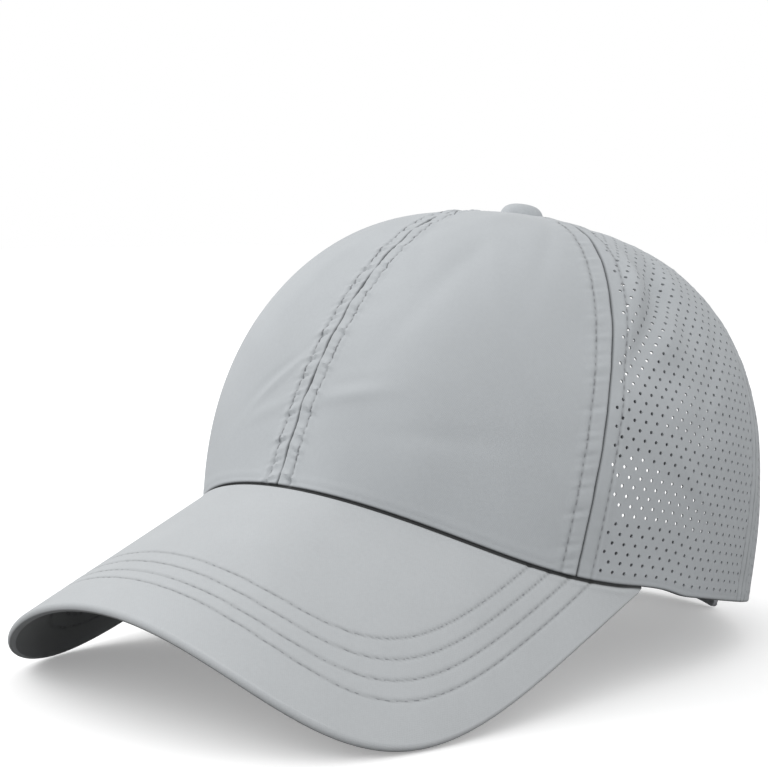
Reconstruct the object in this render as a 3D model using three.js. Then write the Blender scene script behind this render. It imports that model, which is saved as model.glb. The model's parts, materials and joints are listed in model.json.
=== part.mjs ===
// A soft six-panel sports cap with an open back: a teardrop opening for a ponytail,
// two straps crossed over it, a closure strap at the nape and a long curved peak.
// Millimetres, +Z up. The cap stands by itself on its peak's two corners and its nape.
import * as THREE from 'three';

// Crown, measured at its lower edge (the rim) and above it
const RIM_HALF_WIDTH = 91.5;
const RIM_FRONT = 97.5;
const RIM_BACK = 100;
const CROWN_HEIGHT = 119.5;
const CLOTH = 1.2;
const GAP = 0.3;

// Peak
const PEAK_LENGTH = 73.5;
const PEAK_THICKNESS = 3;
const PEAK_ARCH_HALF_WIDTH = 104;
const PEAK_ARCH_DROP = 114;
const PEAK_PITCH = THREE.MathUtils.degToRad(33.8);
const PEAK_LIFT = 17.1;
const PEAK_END_AZIMUTH = THREE.MathUtils.degToRad(75);
const PEAK_TIP = 2.5;
const PEAK_SQUARENESS = { across: 4.2, along: 4.9 };
const RIM_EASE = 2;

// Button on the crown's top
const BUTTON_RADIUS = 7.6;
const BUTTON_HEIGHT = 6;
const BUTTON_EDGE = 2;
const SHANK_RADIUS = 2.4;
const SHANK_LENGTH = 3.2;

// Opening at the back and the tape that binds its edge
const OPENING_HALF_WIDTH = 40.5;
const OPENING_HEIGHT = 153;
const BINDING_WIDTH = 7;
const BINDING_THICKNESS = 2;

// Straps across the opening
const STRAP_TAIL = 5;
const CROSS_STRAP_WIDTH = 18;
const CROSS_STRAP_THICKNESS = 1.2;
const CROSS_STRAP_UPPER = 89;
const CROSS_STRAP_LOWER = 39;
const CROSS_STRAP_BOW = 2;
const CLOSURE_WIDTH = 19.5;
const CLOSURE_THICKNESS = 1.4;
const CLOSURE_STEP = 3;
const CLOSURE_SAG = { outer: 5.5, inner: 3 };
const CLOSURE_FREE_END = 7;
const CLOSURE_LAP = 1;

// Depth of the soft dents that the cloth has taken
const DENT_DEPTH = 1.8;

// How full each section of the crown is: side by side it runs front, side, back
const SECTIONS = {
  front: { fullness: 3.45, shoulder: 0.85, swell: 0.061 },
  side: { fullness: 2.55, shoulder: 3.35, swell: 0.02 },
  back: { fullness: 2.0, shoulder: 1.72, swell: 0 },
};

// Azimuth of each seam at the rim and at the top, in degrees from the front
const SEAMS = {
  front: { rim: 0, top: 0 },
  temple: { rim: 61, top: 68.4 },
  rear: { rim: 110, top: 109 },
};

// Opening's edge: height as a share of the opening's, half width as a share of the widest
const OPENING_EDGE = [
  { up: 0, half: 0.955 },
  { up: 0.18, half: 0.958 },
  { up: 0.29, half: 0.975 },
  { up: 0.35, half: 0.995 },
  { up: 0.41, half: 1 },
  { up: 0.46, half: 0.94 },
  { up: 0.52, half: 0.86 },
  { up: 0.58, half: 0.785 },
  { up: 0.65, half: 0.71 },
  { up: 0.71, half: 0.617 },
  { up: 0.785, half: 0.49 },
  { up: 0.865, half: 0.325 },
  { up: 0.945, half: 0.147 },
  { up: 1, half: 0 },
];

// Dents (depth above 0) and soft ridges (below 0): place as azimuth and share of the way
// to the top, heading in degrees from level, the rest as shares of crown height and depth
const DENTS = [
  { azimuth: 83, up: 0.55, heading: 110, length: 0.2, width: 0.06, depth: 1 },
  { azimuth: 72, up: 0.56, heading: 105, length: 0.15, width: 0.06, depth: -0.6 },
  { azimuth: 77, up: 0.38, heading: 0, length: 0.13, width: 0.06, depth: 0.6 },
  { azimuth: 27, up: 0.53, heading: 50, length: 0.17, width: 0.06, depth: 0.35 },
  { azimuth: 16, up: 0.22, heading: 20, length: 0.19, width: 0.06, depth: -0.4 },
  { azimuth: -88, up: 0.5, heading: 75, length: 0.2, width: 0.07, depth: 0.9 },
  { azimuth: -24, up: 0.3, heading: -30, length: 0.18, width: 0.06, depth: -0.35 },
  { azimuth: 128, up: 0.35, heading: 60, length: 0.2, width: 0.07, depth: 0.5 },
  { azimuth: -130, up: 0.3, heading: -60, length: 0.18, width: 0.07, depth: 0.5 },
];

const HOLE_RADIUS = SHANK_RADIUS + GAP;
const BINDING_PROUD = (BINDING_THICKNESS - CLOTH) / 2;
const STRAP_DEPTH = CLOTH + BINDING_PROUD + GAP;
const BACK = Math.PI;

const { degToRad, lerp, clamp, smoothstep } = THREE.MathUtils;

// Peak's sheet: arched over an ellipse whose axis runs from front to back, then pitched down

function arch(across) {
  const angle = across / PEAK_ARCH_HALF_WIDTH;
  return { x: PEAK_ARCH_HALF_WIDTH * Math.sin(angle), drop: PEAK_ARCH_DROP * (1 - Math.cos(angle)) };
}

function peakPoint(across, forward) {
  const { x, drop } = arch(across);
  return new THREE.Vector3(
    x,
    -RIM_FRONT - forward * Math.cos(PEAK_PITCH) + drop * Math.sin(PEAK_PITCH),
    PEAK_LIFT - forward * Math.sin(PEAK_PITCH) - drop * Math.cos(PEAK_PITCH),
  );
}

function peakNormal(across) {
  const angle = across / PEAK_ARCH_HALF_WIDTH;
  const aside = PEAK_ARCH_DROP * Math.sin(angle);
  const level = PEAK_ARCH_HALF_WIDTH * Math.cos(angle);
  const normal = new THREE.Vector3(aside, -Math.sin(PEAK_PITCH) * level, Math.cos(PEAK_PITCH) * level);
  return normal.normalize();
}

function peakPlace(x, y) {
  const across = PEAK_ARCH_HALF_WIDTH * Math.asin(clamp(x / PEAK_ARCH_HALF_WIDTH, -0.995, 0.995));
  const { drop } = arch(across);
  const forward = (drop * Math.sin(PEAK_PITCH) - y - RIM_FRONT) / Math.cos(PEAK_PITCH);
  return { across, forward, height: peakPoint(across, forward).z };
}

// Rim: half ellipses in plan that ride up over the peak and ease out flat behind it

function easedHeight(x, y) {
  const { height } = peakPlace(x, y);
  const eased = RIM_EASE * Math.log1p(Math.exp(height / RIM_EASE));
  return eased * smoothstep(-y / RIM_FRONT, 0, 0.15);
}

function rimPlan(azimuth, inset = 0) {
  const reach = Math.cos(azimuth) > 0 ? RIM_FRONT : RIM_BACK;
  const place = new THREE.Vector2(RIM_HALF_WIDTH * Math.sin(azimuth), -reach * Math.cos(azimuth));
  const outward = new THREE.Vector2(place.x / RIM_HALF_WIDTH ** 2, place.y / reach ** 2).normalize();
  return place.addScaledVector(outward, -inset);
}

function rimPoint(azimuth, inset = 0) {
  const { x, y } = rimPlan(azimuth, inset);
  return new THREE.Vector3(x, y, easedHeight(x, y) + GAP);
}

// Crown: from the rim to the top along each azimuth, by arc length

function sectionValue(azimuth, name) {
  const sideways = Math.sin(azimuth) ** 2;
  const end = Math.cos(azimuth) > 0 ? SECTIONS.front : SECTIONS.back;
  return lerp(end[name], SECTIONS.side[name], sideways);
}

function sectionPoint(azimuth, turn) {
  const rim = rimPoint(azimuth);
  const rise = Math.sin(turn) ** (2 / sectionValue(azimuth, 'shoulder'));
  const swell = 1 + sectionValue(azimuth, 'swell') * Math.sin(Math.PI * rise);
  const reach = Math.cos(turn) ** (2 / sectionValue(azimuth, 'fullness')) * swell;
  return new THREE.Vector3(rim.x * reach, rim.y * reach, lerp(rim.z, CROWN_HEIGHT, rise));
}

function meridian(azimuth, steps = 120) {
  const turns = [0];
  const arcs = [0];
  let last = sectionPoint(azimuth, 0);
  for (let step = 1; step < steps; step += 1) {
    const turn = (Math.PI / 2) * (step / steps);
    const next = sectionPoint(azimuth, turn);
    if (Math.hypot(next.x, next.y) < HOLE_RADIUS) break;
    turns.push(turn);
    arcs.push(arcs.at(-1) + next.distanceTo(last));
    last = next;
  }
  const over = Math.hypot(last.x, last.y) - HOLE_RADIUS;
  return { turns, arcs, length: arcs.at(-1) + over };
}

function crownPoint(azimuth, share) {
  const { turns, arcs, length } = meridian(azimuth);
  const arc = share * length;
  const top = arcs.length - 1;
  if (arc >= arcs[top]) {
    const edge = sectionPoint(azimuth, turns[top]);
    const radius = Math.hypot(edge.x, edge.y);
    const inner = (radius - (arc - arcs[top])) / radius;
    return new THREE.Vector3(edge.x * inner, edge.y * inner, edge.z);
  }
  const index = Math.max(1, arcs.findIndex((value) => value > arc));
  const part = (arc - arcs[index - 1]) / (arcs[index] - arcs[index - 1]);
  return sectionPoint(azimuth, lerp(turns[index - 1], turns[index], part));
}

function crownNormal(azimuth, share) {
  const swing = 0.01;
  const step = 0.02;
  const low = clamp(share, step, 1 - step) - step;
  const round = crownPoint(azimuth + swing, share).sub(crownPoint(azimuth - swing, share));
  const up = crownPoint(azimuth, low + 2 * step).sub(crownPoint(azimuth, low));
  return round.cross(up).normalize();
}

function dentDepth(azimuth, share) {
  let depth = 0;
  for (const dent of DENTS) {
    const round = (azimuth - degToRad(dent.azimuth)) * RIM_HALF_WIDTH;
    const up = (share - dent.up) * CROWN_HEIGHT * 1.4;
    const heading = degToRad(dent.heading);
    const along = (round * Math.cos(heading) + up * Math.sin(heading)) / (dent.length * CROWN_HEIGHT);
    const aside = (up * Math.cos(heading) - round * Math.sin(heading)) / (dent.width * CROWN_HEIGHT);
    depth += dent.depth * DENT_DEPTH * Math.exp(-along * along - aside * aside);
  }
  return depth;
}

function wallPoint(azimuth, share, depth) {
  if (share <= 0) return rimPoint(azimuth, depth);
  const inward = depth + dentDepth(azimuth, share);
  return crownPoint(azimuth, share).addScaledVector(crownNormal(azimuth, share), -inward);
}

// Back of the crown as a chart: distance aside from the middle and distance up from the rim

const backLength = meridian(BACK).length;

function azimuthAt(aside, share) {
  let near = BACK;
  let far = Math.PI / 2;
  for (let round = 0; round < 30; round += 1) {
    const middle = (near + far) / 2;
    if (crownPoint(middle, share).x < Math.abs(aside)) near = middle;
    else far = middle;
  }
  return aside < 0 ? 2 * BACK - near : near;
}

function chartPoint(aside, up, depth) {
  const share = Math.max(up, 0) / backLength;
  const point = wallPoint(azimuthAt(aside, share), share, depth);
  point.z += Math.min(up, 0);
  return point;
}

function openingHalf(up) {
  const share = up / OPENING_HEIGHT;
  const last = OPENING_EDGE.length - 1;
  let row = OPENING_EDGE.findIndex((entry) => entry.up > share) - 1;
  if (row < 0) row = share < 0 ? 0 : last - 1;
  const slopeAt = (index) => {
    const from = OPENING_EDGE[Math.max(0, index - 1)];
    const to = OPENING_EDGE[Math.min(last, index + 1)];
    return (to.half - from.half) / (to.up - from.up);
  };
  const from = OPENING_EDGE[row];
  const to = OPENING_EDGE[row + 1];
  const span = to.up - from.up;
  const t = (share - from.up) / span;
  if (t > 1) return (to.half + slopeAt(last) * (share - to.up)) * OPENING_HALF_WIDTH;
  const rise = to.half - from.half;
  const bend = t * (1 - t) * ((1 - t) * (slopeAt(row) * span - rise) + t * (rise - slopeAt(row + 1) * span));
  return (from.half + rise * t + bend) * OPENING_HALF_WIDTH;
}

function edgeAside(share) {
  return Math.max(openingHalf(share * backLength), GAP / 2);
}

function bindingAside(share) {
  const up = share * backLength;
  const slope = openingHalf(up + 1) - openingHalf(up);
  return Math.max(openingHalf(up) + BINDING_WIDTH * Math.hypot(1, slope), BINDING_WIDTH);
}

// Lines that bound the crown's pieces: azimuth at each share of the way to the top

function seamAzimuth(seam, share) {
  return degToRad(lerp(SEAMS[seam].rim, SEAMS[seam].top, share));
}

function edgeAzimuth(share) {
  return azimuthAt(edgeAside(share), share);
}

function bindingAzimuth(share) {
  const least = lerp(BACK, seamAzimuth('rear', share), 0.55);
  return Math.max(azimuthAt(Math.min(bindingAside(share), RIM_HALF_WIDTH * 0.9), share), least);
}

/** Azimuth turn that is as wide as half a gap at this place. */
function halfGap(azimuth, share) {
  const { x, y } = crownPoint(azimuth, share);
  return GAP / 2 / Math.hypot(x, y);
}

// Solids from two facing grids of points

function closedSheet(top, bottom) {
  const rows = top.length;
  const columns = top[0].length;
  const points = [...top.flat(), ...bottom.flat()];
  const at = (face, row, column) => face * rows * columns + row * columns + column;
  const triangles = [];
  const quad = (a, b, c, d) => triangles.push(a, b, c, a, c, d);
  for (let row = 0; row < rows - 1; row += 1) {
    for (let column = 0; column < columns - 1; column += 1) {
      quad(at(0, row, column), at(0, row, column + 1), at(0, row + 1, column + 1), at(0, row + 1, column));
      quad(at(1, row, column), at(1, row + 1, column), at(1, row + 1, column + 1), at(1, row, column + 1));
    }
  }
  const last = { row: rows - 1, column: columns - 1 };
  for (let column = 0; column < last.column; column += 1) {
    quad(at(0, 0, column), at(1, 0, column), at(1, 0, column + 1), at(0, 0, column + 1));
    quad(at(0, last.row, column + 1), at(1, last.row, column + 1), at(1, last.row, column), at(0, last.row, column));
  }
  for (let row = 0; row < last.row; row += 1) {
    quad(at(0, row + 1, 0), at(1, row + 1, 0), at(1, row, 0), at(0, row, 0));
    quad(at(0, row, last.column), at(1, row, last.column), at(1, row + 1, last.column), at(0, row + 1, last.column));
  }
  const geometry = new THREE.BufferGeometry().setFromPoints(points);
  geometry.setIndex(triangles);
  geometry.computeVertexNormals();
  return geometry;
}

function steps(count, from = 0, to = 1) {
  return Array.from({ length: count + 1 }, (_, index) => lerp(from, to, index / count));
}

/** A shell of the crown between two lines, given for the wearer's left. */
function crownShell({ from, to, levels, columns, side, outer = 0, inner = CLOTH }) {
  const row = (share, depth) => {
    const first = from(share) + halfGap(from(share), share);
    const last = to(share) - halfGap(to(share), share);
    const azimuths = steps(columns, first, last);
    const ordered = side < 0 ? azimuths.map((azimuth) => -azimuth).reverse() : azimuths;
    return ordered.map((azimuth) => wallPoint(azimuth, share, depth));
  };
  const face = (depth) => levels.map((share) => row(share, depth));
  return closedSheet(face(outer), face(inner));
}

// Pieces

const CLOTH_LOOK = { color: 0xb8bcbe, roughness: 0.85, metalness: 0 };
const PEAK_LOOK = { color: 0xbdc0c1, roughness: 0.8, metalness: 0 };
const TAPE_LOOK = { color: 0xa9abae, roughness: 0.8, metalness: 0 };

function piece(name, geometry, look) {
  const mesh = new THREE.Mesh(geometry, new THREE.MeshStandardMaterial(look));
  mesh.name = name;
  return mesh;
}

function panelLevels() {
  return steps(16);
}

function backLevels() {
  const apex = OPENING_HEIGHT / backLength;
  return [...steps(14, 0, apex), ...steps(3, apex, 1).slice(1)];
}

function crownPieces(side, name) {
  const seam = (which) => (share) => seamAzimuth(which, share);
  const panels = { levels: panelLevels(), side };
  const back = { levels: backLevels(), side };
  const front = crownShell({ ...panels, from: seam('front'), to: seam('temple'), columns: 12 });
  const flank = crownShell({ ...panels, from: seam('temple'), to: seam('rear'), columns: 10 });
  const rear = crownShell({ ...back, from: seam('rear'), to: bindingAzimuth, columns: 7 });
  const tape = { outer: -BINDING_PROUD, inner: CLOTH + BINDING_PROUD };
  const binding = crownShell({ ...back, ...tape, from: bindingAzimuth, to: edgeAzimuth, columns: 2 });
  return [
    piece(`front_panel_${name}`, front, CLOTH_LOOK),
    piece(`side_panel_${name}`, flank, CLOTH_LOOK),
    piece(`back_panel_${name}`, rear, CLOTH_LOOK),
    piece(`opening_binding_${name}`, binding, CLOTH_LOOK),
  ];
}

function peakOutline(part) {
  const end = rimPlan(PEAK_END_AZIMUTH);
  const tip = peakPlace(end.x, end.y);
  const angle = (part * Math.PI) / 2;
  const back = tip.forward + PEAK_TIP;
  return new THREE.Vector2(
    tip.across * Math.sign(part) * Math.abs(Math.sin(angle)) ** (2 / PEAK_SQUARENESS.across),
    back + (PEAK_LENGTH - back) * Math.abs(Math.cos(angle)) ** (2 / PEAK_SQUARENESS.along),
  );
}

/** Points at even distances along the peak's outer edge. */
function evenOutline(count, fine = 400) {
  const points = steps(fine, -1, 1).map(peakOutline);
  const lengths = [0];
  for (let index = 1; index <= fine; index += 1) {
    lengths.push(lengths[index - 1] + points[index].distanceTo(points[index - 1]));
  }
  return steps(count, 0, lengths[fine]).map((length) => {
    const index = clamp(lengths.findIndex((value) => value >= length), 1, fine);
    const span = lengths[index] - lengths[index - 1];
    return points[index - 1].clone().lerp(points[index], (length - lengths[index - 1]) / span);
  });
}

function peakGeometry(columns = 34, rows = 7) {
  const outline = evenOutline(columns);
  const sides = steps(columns, -1, 1);
  const place = (column, row) => {
    const azimuth = sides[column] * PEAK_END_AZIMUTH;
    if (row < 0) {
      const inset = -row * CLOTH * (1 - 0.85 * sides[column] ** 2);
      const { x, y } = rimPlan(azimuth, inset);
      return { across: peakPlace(x, y).across, top: new THREE.Vector3(x, y, easedHeight(x, y)) };
    }
    const share = row / rows;
    const { x, y } = rimPlan(azimuth);
    const start = peakPlace(x, y);
    const across = lerp(start.across, outline[column].x, share);
    const forward = lerp(start.forward, outline[column].y, share);
    const lift = (easedHeight(x, y) - start.height) * (1 - share) ** 2;
    return { across, top: peakPoint(across, forward).add(new THREE.Vector3(0, 0, lift)) };
  };
  const face = (thickness) => steps(rows + 2, rows, -2).map((row) => steps(columns, 0, columns).map((column) => {
    const { across, top } = place(column, row);
    return top.addScaledVector(peakNormal(across), -thickness);
  }));
  return closedSheet(face(0), face(PEAK_THICKNESS));
}

function buttonGeometry() {
  const profile = [new THREE.Vector2(0, -SHANK_LENGTH), new THREE.Vector2(SHANK_RADIUS, -SHANK_LENGTH)];
  profile.push(new THREE.Vector2(SHANK_RADIUS, 0), new THREE.Vector2(BUTTON_RADIUS, 0));
  for (const share of steps(5)) {
    const angle = (share * Math.PI) / 2;
    const height = BUTTON_EDGE + (BUTTON_HEIGHT - BUTTON_EDGE) * Math.sin(angle);
    profile.push(new THREE.Vector2(share < 1 ? BUTTON_RADIUS * Math.cos(angle) ** 0.7 : 0, height));
  }
  return new THREE.LatheGeometry(profile, 24).rotateX(Math.PI / 2);
}

/** A strap whose lines run straight in the chart from one end to the other. */
function strapGeometry({ lines, ends, depthAt, thickness, columns }) {
  const face = (extra) => lines.map((line) => {
    const [first, last] = ends(line);
    return steps(columns, first, last).map((along) => {
      const { aside, up } = line(along);
      return chartPoint(aside, up, depthAt(along) + extra);
    });
  });
  return closedSheet(face(0), face(thickness));
}

/** Distance along a line at which it passes the binding's edge and its tail ends. */
function tailEnd(line, direction) {
  let near = 0;
  let far = direction * OPENING_HALF_WIDTH * 2;
  for (let round = 0; round < 40; round += 1) {
    const middle = (near + far) / 2;
    const { aside, up } = line(middle);
    if (Math.abs(aside) < openingHalf(up) + STRAP_TAIL) near = middle;
    else far = middle;
  }
  return near;
}

function crossStrap(side, dip) {
  const upper = { aside: -side * openingHalf(CROSS_STRAP_UPPER), up: CROSS_STRAP_UPPER };
  const lower = { aside: side * openingHalf(CROSS_STRAP_LOWER), up: CROSS_STRAP_LOWER };
  const run = new THREE.Vector2(lower.aside - upper.aside, lower.up - upper.up);
  if (run.x < 0) run.negate();
  run.normalize();
  const middle = upper.up + (lower.up - upper.up) * (upper.aside / (upper.aside - lower.aside));
  const bow = (along) => CROSS_STRAP_BOW * (1 - (along / OPENING_HALF_WIDTH) ** 2);
  const lines = steps(3, -CROSS_STRAP_WIDTH / 2, CROSS_STRAP_WIDTH / 2).map((offset) => (along) => ({
    aside: run.x * -along - run.y * offset,
    up: middle - bow(along) - run.y * along + run.x * offset,
  }));
  const clear = CROSS_STRAP_WIDTH;
  return strapGeometry({
    lines,
    ends: (line) => [tailEnd(line, -1), tailEnd(line, 1)],
    depthAt: (along) => STRAP_DEPTH + dip * (1 - smoothstep(Math.abs(along), clear, 2 * clear)),
    thickness: CROSS_STRAP_THICKNESS,
    columns: 22,
  });
}

/** A level strap that hangs lower towards its ends than the rim does. */
function closureStrap({ from, to, step, sag, depthAt }) {
  const lines = steps(2, step, step + CLOSURE_WIDTH).map((up) => (along) => ({
    aside: -along,
    up: up - sag * (along / OPENING_HALF_WIDTH) ** 2,
  }));
  return strapGeometry({ lines, ends: () => [from, to], depthAt, thickness: CLOSURE_THICKNESS, columns: 20 });
}

function straps() {
  const dip = CROSS_STRAP_THICKNESS + GAP;
  const edge = openingHalf(0);
  const proud = -BINDING_PROUD - GAP - CLOSURE_THICKNESS;
  const outerDepth = (along) => lerp(proud, STRAP_DEPTH, clamp((along + edge) / (2 * edge), 0, 1));
  const under = (along) => outerDepth(along) + CLOSURE_THICKNESS + GAP;
  const outer = closureStrap({
    from: -edge - CLOSURE_LAP,
    to: edge + STRAP_TAIL,
    step: 0,
    sag: CLOSURE_SAG.outer,
    depthAt: outerDepth,
  });
  const inner = closureStrap({
    from: -edge - STRAP_TAIL,
    to: edge - CLOSURE_FREE_END,
    step: CLOSURE_STEP,
    sag: CLOSURE_SAG.inner,
    depthAt: (along) => Math.max(under(along), STRAP_DEPTH * smoothstep(-along, edge / 2, edge)),
  });
  return [
    piece('cross_strap_over', crossStrap(-1, 0), TAPE_LOOK),
    piece('cross_strap_under', crossStrap(1, dip), TAPE_LOOK),
    piece('closure_strap_outer', outer, TAPE_LOOK),
    piece('closure_strap_inner', inner, TAPE_LOOK),
  ];
}

/** Turns the cap back until its peak and its nape touch the same level floor. */
function restTilt(frontMesh, backMesh) {
  const low = (mesh, tilt) => {
    const turn = new THREE.Matrix4().makeRotationX(-tilt);
    return new THREE.Box3().setFromObject(piece('', mesh.geometry.clone().applyMatrix4(turn), {})).min.z;
  };
  let level = 0;
  let steep = Math.PI / 4;
  for (let round = 0; round < 50; round += 1) {
    const tilt = (level + steep) / 2;
    if (low(frontMesh, tilt) < low(backMesh, tilt)) level = tilt;
    else steep = tilt;
  }
  return level;
}

const peak = piece('peak', peakGeometry(), PEAK_LOOK);
const button = piece('button', buttonGeometry(), CLOTH_LOOK);
button.position.set(0, 0, CROWN_HEIGHT + BINDING_PROUD + GAP);
const tapes = straps();
const nape = tapes.find((mesh) => mesh.name === 'closure_strap_outer');

const cap = new THREE.Group();
cap.add(...crownPieces(1, 'left'), ...crownPieces(-1, 'right'), peak, button, ...tapes);
cap.rotation.x = -restTilt(peak, nape);
cap.updateMatrixWorld(true);
const bounds = new THREE.Box3().setFromObject(cap, true);
const middle = bounds.getCenter(new THREE.Vector3());
cap.position.set(-middle.x, -middle.y, -bounds.min.z);

const part = new THREE.Group();
part.add(cap);
export default part;
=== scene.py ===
"""Looks of a soft sports cap: perforated panels, stitched peak, bound opening and crossed straps.

Lengths are in millimetres in the cap's own frame, whose origin is the middle of the rim,
and every finished mesh is turned to its resting place and brought to metres.
"""
import json
import math
from functools import partial
import bmesh
import bpy
import numpy as np
from mathutils import Matrix, Vector
from mathutils.geometry import delaunay_2d_cdt


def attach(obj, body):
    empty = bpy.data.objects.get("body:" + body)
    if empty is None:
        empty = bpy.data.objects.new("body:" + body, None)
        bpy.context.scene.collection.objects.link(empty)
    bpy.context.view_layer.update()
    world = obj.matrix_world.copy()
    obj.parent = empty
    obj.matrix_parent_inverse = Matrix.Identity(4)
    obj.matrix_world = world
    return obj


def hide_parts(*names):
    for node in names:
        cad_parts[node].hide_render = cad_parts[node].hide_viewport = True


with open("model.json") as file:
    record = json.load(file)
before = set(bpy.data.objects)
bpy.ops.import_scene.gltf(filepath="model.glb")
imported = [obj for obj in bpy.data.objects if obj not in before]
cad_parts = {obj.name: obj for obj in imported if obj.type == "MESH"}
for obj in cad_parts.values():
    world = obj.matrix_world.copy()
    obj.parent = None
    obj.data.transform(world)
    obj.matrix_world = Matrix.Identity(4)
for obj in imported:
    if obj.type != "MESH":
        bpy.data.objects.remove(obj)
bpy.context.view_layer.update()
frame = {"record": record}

# Sizes of the crown, as in the part's source
RIM_HALF_WIDTH = 91.5
RIM_FRONT = 97.5
RIM_BACK = 100.0
CROWN_HEIGHT = 119.5
CLOTH = 1.2
GAP = 0.3
RIM_EASE = 2.0
SECTIONS = {
    "front": {"fullness": 3.45, "shoulder": 0.85, "swell": 0.061},
    "side": {"fullness": 2.55, "shoulder": 3.35, "swell": 0.02},
    "back": {"fullness": 2.0, "shoulder": 1.72, "swell": 0.0},
}
SEAMS = {"front": (0.0, 0.0), "temple": (61.0, 68.4), "rear": (110.0, 109.0)}

# Peak
PEAK_LENGTH = 73.5
PEAK_THICKNESS = 3.0
PEAK_ARCH_HALF_WIDTH = 104.0
PEAK_ARCH_DROP = 114.0
PEAK_PITCH = math.radians(33.8)
PEAK_LIFT = 17.1
PEAK_END_AZIMUTH = math.radians(75)
PEAK_TIP = 2.5
PEAK_ACROSS = 4.2
PEAK_ALONG = 4.9

# Button
BUTTON_RADIUS = 7.6
BUTTON_HEIGHT = 6.0
BUTTON_BELLY = 1.3
SHANK_RADIUS = 2.4
SHANK_LENGTH = 3.2

# Opening, its binding and the straps
OPENING_HALF_WIDTH = 40.5
OPENING_HEIGHT = 153.0
OPENING_EDGE = np.array([
    (0, .955), (.18, .958), (.29, .975), (.35, .995), (.41, 1), (.46, .94), (.52, .86), (.58, .785),
    (.65, .71), (.71, .617), (.785, .49), (.865, .325), (.945, .147), (1, 0),
])
BINDING_WIDTH = 7.0
BINDING_THICKNESS = 2.0
STRAP_TAIL = 5.0
CROSS_WIDTH = 18.0
CROSS_THICKNESS = 1.2
CROSS_UPPER = 89.0
CROSS_LOWER = 39.0
CROSS_BOW = 2.0
CLOSURE_WIDTH = 19.5
CLOSURE_THICKNESS = 1.4
CLOSURE_STEP = 3.0
CLOSURE_SAG = {"outer": 5.5, "inner": 3.0}
CLOSURE_FREE_END = 7.0
CLOSURE_LAP = 1.0
CLOSURE_CORNER = 2.6

# Dents and soft ridges: azimuth, share of the way up, heading, length, width, depth
DENT_DEPTH = 1.8
DENTS = [
    (83, .55, 110, .2, .06, 1), (72, .56, 105, .15, .06, -.6), (77, .38, 0, .13, .06, .6),
    (27, .53, 50, .17, .06, .35), (16, .22, 20, .19, .06, -.4), (-88, .5, 75, .2, .07, .9),
    (-24, .3, -30, .18, .06, -.35), (128, .35, 60, .2, .07, .5), (-130, .3, -60, .18, .07, .5),
]

# Creases and pulls that the solids leave to this script, in the same columns, depth in millimetres
CREASES = [
    (-10.5, .215, 49, .11, .014, -.5), (-12, .235, 47, .1, .016, .35), (-8.5, .158, 22, .1, .022, -.4),
    (12.4, .2, 14, .11, .02, -.45), (12, .228, 12, .1, .022, .35), (76.5, .52, 64, .15, .035, .8),
    (70, .52, 66, .13, .028, -.6), (-3.4, .014, 90, .03, .006, .5), (3.1, .014, 90, .03, .006, .5),
    (30, .72, 35, .2, .05, -.3), (44, .3, -60, .16, .04, .35), (-34, .6, 70, .2, .05, .4),
    (88, .3, 20, .12, .03, .4), (97, .7, 80, .15, .04, .5), (-80, .66, 40, .14, .035, .7),
    (-72, .35, -50, .13, .035, .5), (-98, .4, 15, .12, .03, -.5), (122, .62, 70, .14, .03, .45),
    (77.9, .524, 56, .27, .034, 2.0), (72, .535, 74, .2, .032, -1.0), (81.9, .485, 56, .16, .03, -.6),
    (-124, .55, 110, .14, .03, .4), (22, .42, 62, .22, .045, .5), (38, .5, 105, .2, .04, -.45),
    (50, .6, 75, .18, .035, .45), (14, .55, 120, .16, .035, .35), (33, .16, 12, .18, .03, .35),
    (-22, .48, 80, .2, .045, -.45), (84, .2, -35, .13, .03, -.5), (92, .42, 60, .15, .03, .6),
    (102, .5, 100, .14, .03, -.5), (80, .78, 40, .13, .03, .5),
]

# Cloth as sewn
SEEN_CLOTH = 0.6
STITCH_OFFSET = 5.0
ALLOWANCE = 7.0
FOLD_IN = 1.3
HEM_STITCH = 2.0
BINDING_STITCH = 1.6
# Painted shade: the most that the cloth's colour is darkened, in seams, joins and tucked-under parts
DEEPEST_SHADE = 0.92

# Punched holes: a staggered lattice, its distances from the rim, the top and the seams
HOLE_ACROSS = 4.3
HOLE_UP = 2.9
HOLE_SIZE = 0.57
HOLE_SIDES = 9
CLEAR_OF_HOLES = 2.1
LOWEST_HOLE = 3.4
HOLE_FREE_TOP = 6.0
SEAM_MARGIN = 6.2
TEMPLE_MARGINS = (7.2, 2.6)
BINDING_MARGIN = 3.0
BINDING_FOLD = 0.6

TOP_HOLE_RADIUS = SHANK_RADIUS + GAP
PROUD = (BINDING_THICKNESS - CLOTH) / 2
STRAP_DEPTH = CLOTH + PROUD + GAP
PI = math.pi


def smoothstep(value, low, high):
    t = np.clip((value - low) / (high - low), 0, 1)
    return t * t * (3 - 2 * t)


def lerp(a, b, t):
    return a + (b - a) * t


def bell(distance, width):
    """1 at no distance, fading softly over the width."""
    return np.exp(-(distance / width) ** 2)


def unit(vectors):
    return vectors / np.linalg.norm(vectors, axis=-1, keepdims=True)


def paired(first, second):
    return np.broadcast_arrays(np.asarray(first, float), np.asarray(second, float))


def halved(near, far, rounds, inside):
    """The last place between near and far that is still inside, by halving."""
    for _ in range(rounds):
        middle = (near + far) / 2
        within = inside(middle)
        near, far = np.where(within, middle, near), np.where(within, far, middle)
    return near


def run_along(points):
    return np.concatenate([[0], np.cumsum(np.linalg.norm(np.diff(points, axis=0), axis=1))])


# Peak's sheet and the rim

def arch(across):
    angle = across / PEAK_ARCH_HALF_WIDTH
    return PEAK_ARCH_HALF_WIDTH * np.sin(angle), PEAK_ARCH_DROP * (1 - np.cos(angle))


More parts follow.
